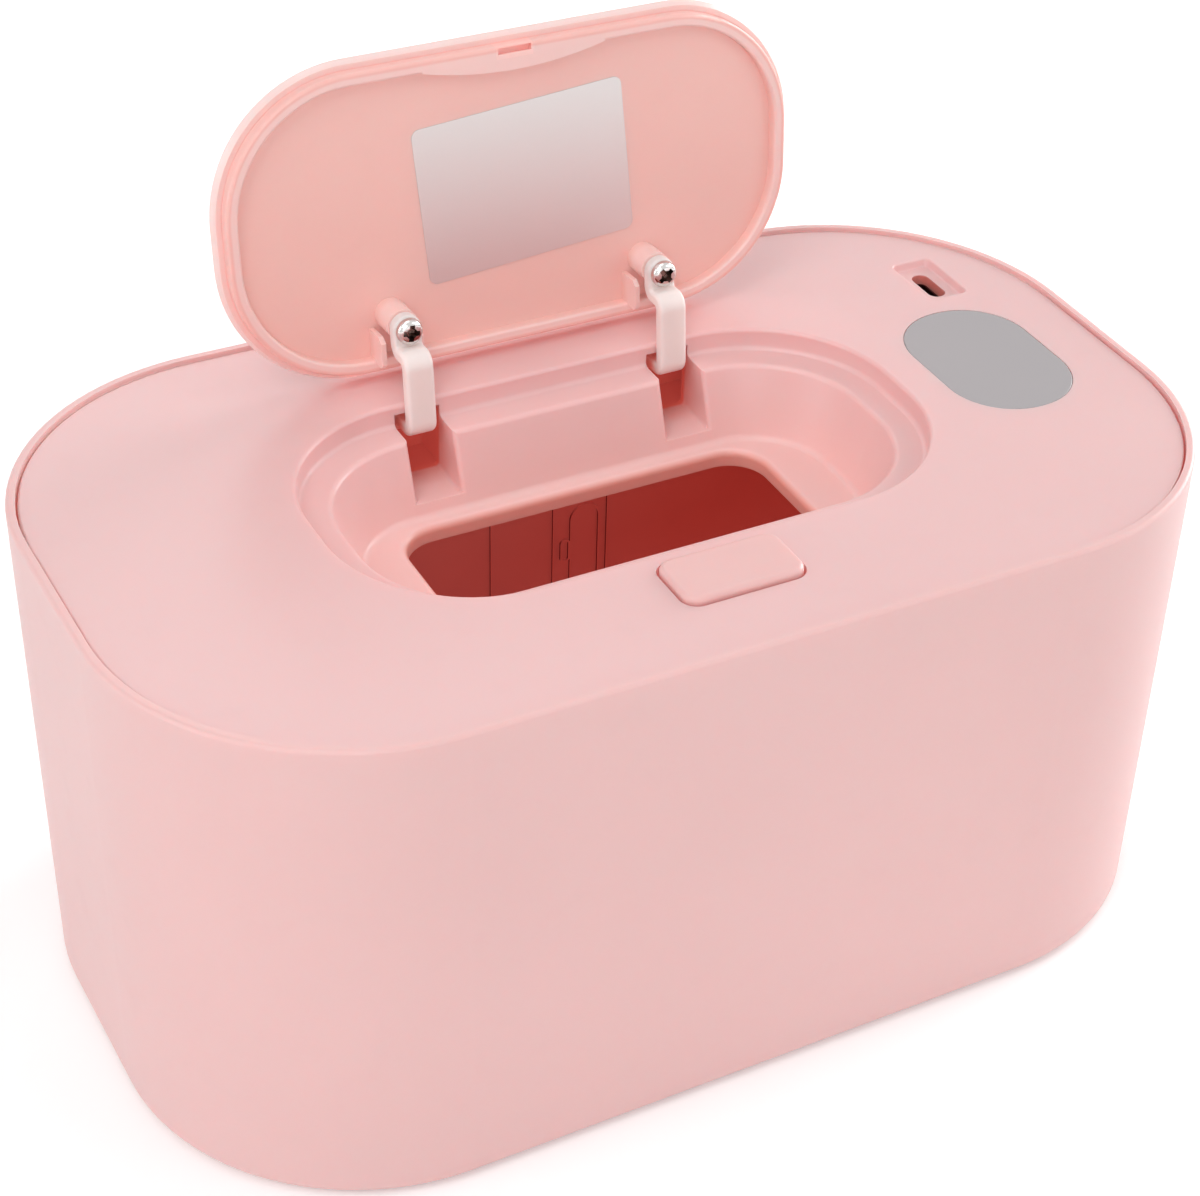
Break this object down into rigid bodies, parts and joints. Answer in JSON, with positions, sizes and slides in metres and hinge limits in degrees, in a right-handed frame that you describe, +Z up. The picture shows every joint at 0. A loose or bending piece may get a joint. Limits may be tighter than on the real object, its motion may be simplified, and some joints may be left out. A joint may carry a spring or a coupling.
{
  "type": "baby wipe warmer",
  "caption": "Rounded tub-shaped wipe warmer with a heated lift-out cover, a sprung flip lid over its dispensing opening, a release button and a display window.",
  "frame": {"origin": "centre of the footprint, on the surface that the feet stand on", "axes": "+X along the long side, towards the display and the inlet; +Y towards the lid's hinge; +Z up. The lid is stored open, as in the picture."},
  "size_m": [0.22, 0.13, 0.1682],
  "materials": {
    "shell_pink": "smooth satin moulded ABS, pale pink",
    "cover_pink": "smooth satin moulded ABS, pale pink",
    "tank_pink": "moulded polypropylene, deeper pink",
    "inner_plastic": "moulded ABS, off-white",
    "hinge_nylon": "moulded nylon, milky off-white",
    "window_grey": "tinted acrylic, glossy",
    "screw_steel": "nickel-plated steel",
    "spring_steel": "drawn spring wire",
    "foot_rubber": "matt rubber, pale grey",
    "seal_silicone": "matt silicone, pale grey",
    "heater_polyimide": "amber polyimide film",
    "spreader_aluminium": "mill-finish sheet",
    "board_green": "solder mask",
    "display_black": "display housing, black",
    "lead_red": "silicone wire insulation",
    "sensor_black": "epoxy bead"
  },
  "bodies": {
    "base": {"outer_shell": "shell_pink", "inner_tank": "tank_pink", "tank_screws": "screw_steel", "foot_front_left": "foot_rubber", "foot_front_right": "foot_rubber", "foot_back_left": "foot_rubber", "foot_back_right": "foot_rubber"},
    "cover": {"top_cover": "cover_pink", "under_cover": "inner_plastic", "cover_seal": "seal_silicone", "cover_screws": "screw_steel", "heater_film": "heater_polyimide", "heat_spreader": "spreader_aluminium", "heater_leads": "lead_red", "thermistor": "sensor_black", "control_board": "board_green", "board_screws": "screw_steel", "usb_socket": "screw_steel", "led_display": "display_black", "touch_spring": "spring_steel", "display_window": "window_grey", "hinge_pin_left": "spring_steel", "hinge_pin_right": "spring_steel", "torsion_spring_left": "spring_steel", "torsion_spring_right": "spring_steel", "latch_pin": "spring_steel", "latch_spring": "spring_steel"},
    "lid": {"flip_lid": "cover_pink", "hinge_arm_left": "hinge_nylon", "hinge_arm_right": "hinge_nylon", "arm_screw_left": "screw_steel", "arm_screw_right": "screw_steel"},
    "button": {"release_button": "cover_pink"},
    "latch": {"latch_lever": "hinge_nylon"}
  },
  "joints": [
    {"name": "cover_lift", "type": "slide", "parent": "base", "child": "cover", "axis": [0, 0, 1], "range_m": [0, 0.12]},
    {"name": "lid_hinge", "type": "hinge", "parent": "cover", "child": "lid", "pos_m": [0, 0.0386, 0.09875], "axis": [1, 0, 0], "range_deg": [0, 95], "stiffness_Nm_per_rad": 0.012, "springref_deg": -20.05},
    {"name": "button_press", "type": "slide", "parent": "cover", "child": "button", "axis": [0, 0, -1], "range_m": [0, 0.0013], "stiffness_N_per_m": 100, "springref_m": -0.001},
    {"name": "latch_turn", "type": "hinge", "parent": "cover", "child": "latch", "pos_m": [0, -0.0302, 0.09585], "axis": [1, 0, 0], "range_deg": [0, 5.8], "deforming": ["latch_spring"]}
  ],
  "couplings": [
    {"joint": "latch_turn", "follows": "button_press", "rad_per_m": 76.923}
  ]
}
